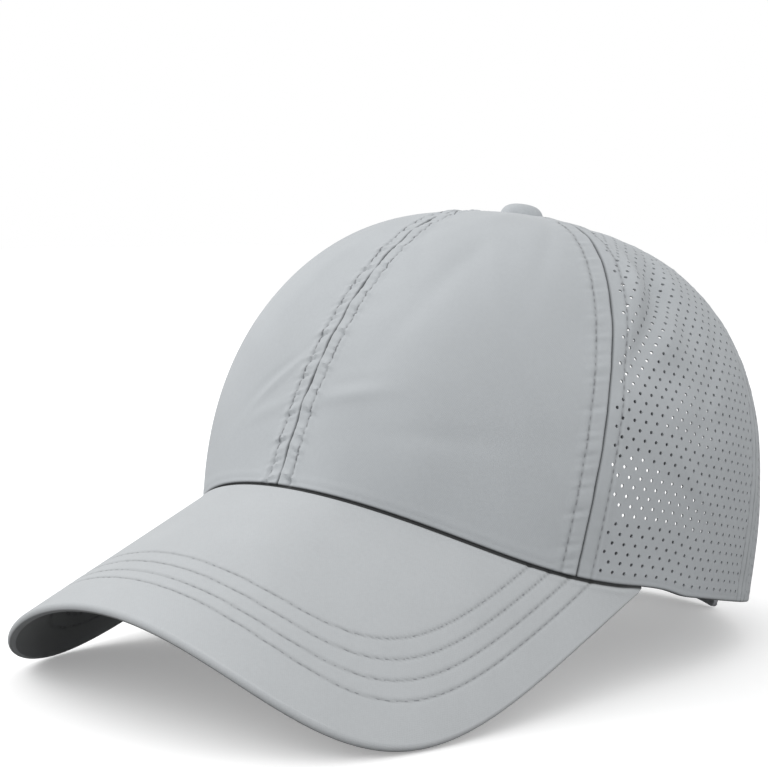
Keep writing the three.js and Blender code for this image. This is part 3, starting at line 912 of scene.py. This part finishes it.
def peak_columns():
    """Start and end of each column of the peak on its sheet, and how far the start is lifted off it."""
    azimuth = np.linspace(-1, 1, PEAK_COLUMNS) * PEAK_END_AZIMUTH
    outer_x, outer_y = peak_outline(PEAK_COLUMNS)
    rim = rim_plan(azimuth)
    start_x, start_y, start_z = peak_place(rim[:, 0], rim[:, 1])
    lift = eased_height(rim[:, 0], rim[:, 1]) - start_z
    return start_x, start_y, outer_x, outer_y, lift


def peak_lift(across, forward):
    """How far places on the sheet are lifted, read from the nearest column."""
    start_x, start_y, outer_x, outer_y, lift = peak_columns()
    run_x, run_y = outer_x - start_x, outer_y - start_y
    reach = np.hypot(run_x, run_y)
    x, y = across[:, None] - start_x, forward[:, None] - start_y
    share = (x * run_x + y * run_y) / reach ** 2
    miss = np.abs(run_x * y - run_y * x) / reach + 1e3 * (np.abs(share - .5) > .55)
    column = np.argmin(miss, axis=1)
    share = np.clip(np.take_along_axis(share, column[:, None], 1)[:, 0], 0, 1)
    return lift[column] * (1 - share) ** 2


def peak_piece():
    columns = PEAK_COLUMNS
    sides = np.linspace(-1, 1, columns)
    azimuth = sides * PEAK_END_AZIMUTH
    start_x, start_y, outer_x, outer_y, lift_at_rim = peak_columns()
    reach = np.hypot(outer_x - start_x, outer_y - start_y)
    radius = PEAK_THICKNESS / 2
    turn = np.linspace(0, PI / 2, 6)
    near = radius * (1 - np.cos(turn))
    sink = radius * (1 - np.sin(turn))

    def line(share, drop, relief, shade=0.0):
        across, forward = lerp(start_x, outer_x, share), lerp(start_y, outer_y, share)
        points = peak_point(across, forward)
        points[:, 2] += lift_at_rim * (1 - share) ** 2
        from_rim = reach * share
        on_top = drop == 0
        join = JOIN_LIP * bell(from_rim - 1.7, .8) - JOIN_GROOVE * bell(from_rim, .6)
        stand = peak_relief(across, forward) * relief + join * smoothstep(reach, 3, 10) * on_top - drop
        flat = np.stack([across, forward], -1)
        # Painted shade: along the stitch rows, at the join with the rim, plus the given shade of underside
        # and edge rows
        painted_shade = peak_painted_shade(across, forward) * np.abs(relief) + .9 * bell(from_rim, .4) * on_top + shade
        return points + peak_normal(across) * stand[:, None], flat, np.minimum(painted_shade, DEEPEST_SHADE)

    rows = []
    for step in (2, 1):
        inset = step * CLOTH * (1 - .85 * sides ** 2)
        spot = rim_plan(azimuth, inset)
        across = peak_place(spot[:, 0], spot[:, 1])[0]
        top = np.stack([spot[:, 0], spot[:, 1], eased_height(spot[:, 0], spot[:, 1])], -1)
        rows.append((top, np.stack([across, np.full(columns, -99.0)], -1), peak_normal(across)))
    # Rows tucked under the crown get the deepest painted shade
    hidden = np.full(columns, DEEPEST_SHADE)
    tuck = [(top, flat, hidden) for top, flat, _ in rows]
    tuck_under = [(top - normal * PEAK_THICKNESS, flat, hidden) for top, flat, normal in rows]
    top_shares = np.concatenate([np.linspace(0, .05, 13)[:-1], np.linspace(.05, 1, 116)[:-1]])
    full = 1 - radius / reach

    def flush(share):
        return smoothstep(reach * (1 - share), radius, 4)

    upper = [line(np.minimum(share, full), 0, flush(share)) for share in top_shares]
    edge = [line(1 - e / reach, drop, 0) for e, drop in zip(near[::-1], sink[::-1])]
    for e, drop, shade in zip(near[1:], sink[1:], BELOW_EDGE_SHADES):
        edge.append(line(1 - e / reach, PEAK_THICKNESS - drop, 0, shade))
    bottom_shares = np.linspace(1, 0, 90)[1:]
    lower = [
        line(np.minimum(share, full), PEAK_THICKNESS, -flush(share), UNDERSIDE_SHADE)
        for share in bottom_shares
    ]
    rings = tuck + upper + edge + lower + tuck_under[::-1]
    points = np.array([ring[0] for ring in rings]).transpose(1, 0, 2)
    flat = np.array([ring[1] for ring in rings]).transpose(1, 0, 2)
    painted_shade = np.array([ring[2] for ring in rings]).T
    finished(tube("peak_cover", points, flat, painted_shade), PEAK_CLOTH, "peak_cloth", "peak")


# Button, binding and straps

def button_piece():
    profile = [(0, 0), (BUTTON_RADIUS - .9, 0)]
    for angle in np.linspace(-60, 90, 16):
        turn = math.radians(angle)
        if angle > 0:
            out, tall = max(math.cos(turn), 0) ** .55, BUTTON_HEIGHT - BUTTON_BELLY
        else:
            out, tall = 1 - .1 * math.sin(-turn) ** 2, BUTTON_BELLY - .15
        profile.append((BUTTON_RADIUS * out, BUTTON_BELLY + tall * math.sin(turn)))
    profile[-1] = (0, BUTTON_HEIGHT)
    count = 72
    turn = np.linspace(0, 2 * PI, count, endpoint=False)
    pleats = np.cos(9 * turn + .6)
    rings = []
    for radius, height in profile:
        gather = 1 + .012 * pleats * smoothstep(radius / BUTTON_RADIUS, .5, 1)
        dip = -.08 * pleats * smoothstep(radius / BUTTON_RADIUS, .55, .95)
        reach = max(radius, .02) * gather
        rings.append(np.stack([reach * np.cos(turn), reach * np.sin(turn), height + dip], -1))
    rings = np.array(rings)
    base = CROWN_HEIGHT + PROUD + GAP
    flat = rings[..., :2].copy()
    rings[..., 2] += base
    shank_x, shank_y = SHANK_RADIUS * np.cos(turn), SHANK_RADIUS * np.sin(turn)
    shank = np.array([[shank_x, shank_y, np.full(count, base + up)] for up in (-SHANK_LENGTH, 0)])
    rings = np.concatenate([shank.transpose(0, 2, 1), rings[1:]])
    flat = np.concatenate([flat[:1] * .3, flat])
    finished(tube("button_cover", rings, flat), CROWN_CLOTH, "crown_cloth", "button")


def binding_widths(shares):
    low, high = binding_azimuth(shares)[:, None], edge_azimuth(shares)[:, None]
    return widths_between(low, high, shares[:, None], 13)[0]


def binding_place(side, shares, from_panel, depth):
    """Points of the tape: distance from the panel's side across it, and depth."""
    widths = binding_widths(shares)[:, None]
    across = from_panel / widths
    azimuth = lerp(binding_azimuth(shares)[:, None], edge_azimuth(shares)[:, None], across)
    share = np.broadcast_to(shares[:, None], azimuth.shape)
    return wall(side * azimuth, share, depth)


BINDING_SHARES = np.concatenate([np.linspace(0, .9, 150), np.linspace(.9, .995, 24)[1:]])


def binding_piece(side, word):
    """A folded tape: its sewn edge, its face, the round edge at the opening, and its back."""
    shares = BINDING_SHARES
    widths = binding_widths(shares)[:, None]
    scale = np.minimum(1, widths / BINDING_WIDTH)
    radius = BINDING_THICKNESS / 2
    fixed = np.array([0, .06, .25, .6, 1.0, 1.3, 1.6, 1.9, 2.2, 2.7])
    sunk = np.array([.55, .25, .06, 0, .02, .12, .3, .12, .02, 0])
    run = shares[:, None] * BACK_LENGTH
    pucker = .09 * ripple(run + .3 * fixed[None], 90 + side) * bell(fixed - BINDING_STITCH, 1.6)[None]
    outer_low = (fixed[None] * scale, -PROUD + sunk[None] - pucker)
    spread = np.linspace(0, 1, 6)[1:-1][None]
    middle = lerp(fixed[-1] * scale, widths - radius * scale, spread)
    bulge = -.12 * np.sin(PI * spread) + 0 * middle
    turn = np.linspace(-PI / 2, PI / 2, 9)[None]
    edge = (widths - radius * scale + radius * scale * np.cos(turn), radius * (1 + np.sin(turn)) - PROUD)
    back_over = lerp(widths - radius * scale, 0 * widths, np.linspace(0, 1, 9)[None, 1:])
    inner = (back_over, np.full((1, 8), CLOTH + PROUD))
    parts = [outer_low, (middle, -PROUD + bulge), edge, inner]
    across, depth = (
        np.concatenate([np.broadcast_to(values, (len(shares), values.shape[-1])) for values in part], 1)
        for part in zip(*parts)
    )
    points = binding_place(side, shares, across, depth)
    flat = np.stack([across, np.broadcast_to(run, across.shape)], -1)
    name = f"opening_binding_{word}"
    finished(tube(f"{name}_tape", points, flat), CROWN_CLOTH, "crown_cloth", name)


TAPE_GROOVE = 2.1


def tape_section(width, thickness):
    """Round the section of a woven tape: offset across and depth, with ribbed faces and round edges."""
    radius = thickness / 2
    low, high = -width / 2, width / 2
    across = np.linspace(low + radius, high - radius, 34)
    face = .22 * bell(across - (low + TAPE_GROOVE), .38) + .22 * bell(across - (high - TAPE_GROOVE), .38)
    turn = np.linspace(-PI / 2, PI / 2, 7)[1:-1]
    top = np.stack([across, face], -1)
    right = np.stack([high - radius + radius * np.cos(turn), radius + radius * np.sin(turn)], -1)
    bottom = np.stack([across[::-1], thickness - face[::-1] * .6], -1)
    left = np.stack([low + radius - radius * np.cos(turn), radius - radius * np.sin(turn)], -1)
    return np.concatenate([top, right, bottom, left])


class CrossStrap:
    """A strap that runs straight over the opening from high on one side to low on the other."""

    def __init__(self, side, dip):
        upper = np.array([-side * opening_half(CROSS_UPPER), CROSS_UPPER])
        lower = np.array([side * opening_half(CROSS_LOWER), CROSS_LOWER])
        run = lower - upper
        run = run * (-1 if run[0] < 0 else 1) / np.linalg.norm(run)
        self.run, self.dip = run, dip
        self.middle = upper[1] + (lower[1] - upper[1]) * (upper[0] / (upper[0] - lower[0]))

    def place(self, offset, along):
        bow = CROSS_BOW * (1 - (along / OPENING_HALF_WIDTH) ** 2)
        aside = -self.run[0] * along - self.run[1] * offset
        return aside, self.middle - bow - self.run[1] * along + self.run[0] * offset

    def end(self, offset, direction):
        def inside(along):
            aside, up = self.place(offset, along)
            return np.abs(aside) < opening_half(up) + STRAP_TAIL

        far = np.full(offset.shape, direction * OPENING_HALF_WIDTH * 2)
        return halved(np.zeros(offset.shape), far, 30, inside)

    def depth(self, along):
        return STRAP_DEPTH + self.dip * (1 - smoothstep(np.abs(along), CROSS_WIDTH, 2 * CROSS_WIDTH))

    def points(self, offset, share, sink):
        along = lerp(self.end(offset, -1), self.end(offset, 1), share)
        aside, up = self.place(offset, along)
        return chart(aside, up, self.depth(along) + sink)


CROSS_RUN = 95.0


def cross_strap(word, strap):
    section_line = tape_section(CROSS_WIDTH, CROSS_THICKNESS)
    share = np.linspace(0, 1, 90)[:, None]
    offset = np.broadcast_to(section_line[None, :, 0], (90, len(section_line)))
    ripples = .1 * ripple(share * CROSS_RUN, 130, (17, 29)) * np.sin(PI * share)
    points = strap.points(offset, np.broadcast_to(share, offset.shape), section_line[None, :, 1] + ripples)
    flat = np.stack([offset, np.broadcast_to(share * CROSS_RUN, offset.shape)], -1)
    name = f"cross_strap_{word}"
    finished(tube(f"{name}_tape", points, flat), TAPE_CLOTH, "strap_tape", name)


EDGE = float(opening_half(0))
CLOSURE_PROUD = -PROUD - GAP - CLOSURE_THICKNESS


def outer_depth(along):
    return lerp(CLOSURE_PROUD, STRAP_DEPTH, np.clip((along + EDGE) / (2 * EDGE), 0, 1))


def inner_depth(along):
    under = outer_depth(along) + CLOSURE_THICKNESS + GAP
    return np.maximum(under, STRAP_DEPTH * smoothstep(-along, EDGE / 2, EDGE))


def closure_place(offset, along, step, sag, depth):
    up = step + CLOSURE_WIDTH / 2 + offset - sag * (along / OPENING_HALF_WIDTH) ** 2
    return chart(-along, up, depth)


def closure_strap(word, ends, step, depth_at, free):
    """free is the end whose corners are rounded and hemmed: -1 or 1."""
    section_line = tape_section(CLOSURE_WIDTH, CLOSURE_THICKNESS)
    share = np.linspace(0, 1, 110)[:, None]
    offset = np.broadcast_to(section_line[None, :, 0], (110, len(section_line)))
    near = np.clip(CLOSURE_CORNER - (CLOSURE_WIDTH / 2 - np.abs(offset)), 0, CLOSURE_CORNER)
    pull = CLOSURE_CORNER - np.sqrt(CLOSURE_CORNER ** 2 - near ** 2)
    low = ends[0] + (pull if free < 0 else 0)
    high = ends[1] - (pull if free > 0 else 0)
    along = lerp(low, high, share)
    from_end = np.abs(along - (ends[0] if free < 0 else ends[1]))
    outer_face = section_line[None, :, 1] < CLOSURE_THICKNESS / 2
    doubled = .28 * (1 - smoothstep(from_end, 4.4, 4.9)) - .25 * bell(from_end - 3.4, .4)
    hem = np.where(outer_face, doubled, 0)
    depth = depth_at(along) + section_line[None, :, 1] - hem
    points = closure_place(offset, along, step, CLOSURE_SAG[word], depth)
    name = f"closure_strap_{word}"
    piece = tube(f"{name}_tape", points, np.stack([offset, along], -1))
    finished(piece, TAPE_CLOTH, "strap_tape", name)


# Stitches: one is modelled, and copies follow each sewing line

def one_stitch(length=2.3, thickness=.42):
    bpy.ops.object.select_all(action="DESELECT")
    bpy.ops.mesh.primitive_uv_sphere_add(segments=6, ring_count=6, radius=1)
    ball = bpy.context.object
    ball.rotation_euler = (0, math.radians(90), 0)
    bpy.ops.object.transform_apply(location=False, rotation=True, scale=False)
    mesh = ball.data
    points = np.empty(len(mesh.vertices) * 3)
    mesh.vertices.foreach_get("co", points)
    points = points.reshape(-1, 3)
    points[:, 0] = np.sign(points[:, 0]) * np.abs(points[:, 0]) ** .75
    points *= [length / 2, thickness / 2, thickness / 2]
    points[:, 2] -= .3 * (np.abs(points[:, 0]) / (length / 2)) ** 3
    faces = [list(face.vertices) for face in mesh.polygons]
    bpy.data.objects.remove(ball)
    return points, faces


STITCH_POINTS, STITCH_FACES = one_stitch()


def stitch_places(line, normals, step=2.9, stand=.02):
    run = run_along(line)
    at = np.arange(step * .6, run[-1] - step * .5, step)

    def read(where, rows):
        return np.stack([np.interp(where, run, rows[:, axis]) for axis in range(3)], -1)

    middle, up = read(at, line), unit(read(at, normals))
    along = unit(read(at + .8, line) - read(at - .8, line))
    aside = unit(np.cross(up, along))
    up = np.cross(along, aside)
    return middle + up * stand, along, aside, up


def stitching(name, slot, lines):
    points, faces, start = [], [], 0
    x, y, z = (STITCH_POINTS[:, axis:axis + 1] for axis in range(3))
    for line, normals in lines:
        middle, along, aside, up = stitch_places(line, normals)
        for m, a, b, c in zip(middle, along, aside, up):
            points.append(m + x * a + y * b + z * c)
            faces.extend([[start + corner for corner in face] for face in STITCH_FACES])
            start += len(STITCH_POINTS)
    points = np.vstack(points)
    piece = placed(name, points, faces, points[:, :2])
    smoothed(piece, 60)
    finished(piece, THREAD_WITH_PAINTED_SHADE, slot)


SEAM_ROWS = np.linspace(2.6, 158, 640)


def panel_line(panel, from_end, up):
    width = panel.width(up)
    aside = from_end if from_end >= 0 else width + from_end
    keep = width > abs(from_end) * 2.4
    up, aside = up[keep], np.broadcast_to(aside, up.shape)[keep]
    normals = tabled(CROWN_NORMALS, panel.side * panel.azimuth(aside, up), up / panel.length)
    return panel.points(aside, up), normals


def peak_line(half, front, under):
    part = np.linspace(-1, 1, 1201)
    angle = part * PI / 2
    across = half * np.sign(part) * np.abs(np.sin(angle)) ** (2 / ROW_ACROSS)
    forward = ROW_BACK + (front - ROW_BACK) * np.abs(np.cos(angle)) ** (2 / ROW_ALONG)
    points = peak_point(across, forward)
    points[:, 2] += peak_lift(across, forward)
    azimuth = np.arctan2(points[:, 0] / RIM_HALF_WIDTH, -points[:, 1] / RIM_FRONT)
    beyond = np.hypot(points[:, 0] / RIM_HALF_WIDTH, points[:, 1] / RIM_FRONT) > 1.012
    keep = beyond & (np.abs(azimuth) < PEAK_END_AZIMUTH)
    normals = peak_normal(across)
    sink = PEAK_THICKNESS - .3 if under else .34
    line = points - normals * sink
    return line[keep], (-normals if under else normals)[keep]


def flank_margins(share):
    return lerp(*TEMPLE_MARGINS, smoothstep(share, .12, .24)), SEAM_MARGIN


def rear_margins(share):
    return SEAM_MARGIN, BINDING_MARGIN


def crown_half(side, word):
    """Panels, binding and sewing lines of one side."""
    front_line, temple_line, rear_line = (partial(seam_azimuth, name) for name in SEAMS)
    front = Panel(side, front_line, temple_line, (11 + side, 23), (.72, .4))
    flank = Panel(side, temple_line, rear_line, (31, 41 + side), (.16, .2))
    rear = Panel(side, rear_line, binding_azimuth, (51, 61), (.2, None))
    for place, make, how, material, slot in (
        ("front", plain_panel, (front,), CROWN_CLOTH, "crown_cloth"),
        ("side", punched_panel, (flank, flank_margins, FOLD_IN), MESH_CLOTH, "mesh_cloth"),
        ("back", punched_panel, (rear, rear_margins, BINDING_FOLD), MESH_CLOTH, "mesh_cloth"),
    ):
        piece = make(f"{place}_panel_{word}_cloth", *how)
        finished(piece, material, slot, f"{place}_panel_{word}")
    binding_piece(side, word)

    for seam, slot, rows in (
        ("front", "crown_cloth", ((front, STITCH_OFFSET),)),
        ("temple", "crown_cloth", ((front, -STITCH_OFFSET), (flank, STITCH_OFFSET))),
        ("rear", "mesh_cloth", ((flank, -STITCH_OFFSET), (rear, STITCH_OFFSET))),
    ):
        lines = [panel_line(panel, from_end, SEAM_ROWS) for panel, from_end in rows]
        stitching(f"{seam}_seam_stitches_{word}", slot, lines)
    shares = np.linspace(.01, .9, 500)
    scale = np.minimum(1, binding_widths(shares) / BINDING_WIDTH)[:, None]
    line = binding_place(side, shares, BINDING_STITCH * scale, np.full((500, 1), .3 - PROUD))[:, 0]
    azimuth = lerp(binding_azimuth(shares), edge_azimuth(shares), .23)
    normals = tabled(CROWN_NORMALS, side * azimuth, shares)
    stitching(f"binding_stitches_{word}", "crown_cloth", [(line, normals)])


camera_and_stage()
crown_half(1, "left")
crown_half(-1, "right")
peak_piece()
stitching("peak_stitches", "peak_cloth", [
    peak_line(half, front, under) for half, front in PEAK_ROWS for under in (False, True)
])
button_piece()
cross_strap("over", CrossStrap(-1, 0))
cross_strap("under", CrossStrap(1, CROSS_THICKNESS + GAP))
closure_strap("outer", (-EDGE - CLOSURE_LAP, EDGE + STRAP_TAIL), 0, outer_depth, -1)
closure_strap("inner", (-EDGE - STRAP_TAIL, EDGE - CLOSURE_FREE_END), CLOSURE_STEP, inner_depth, 1)
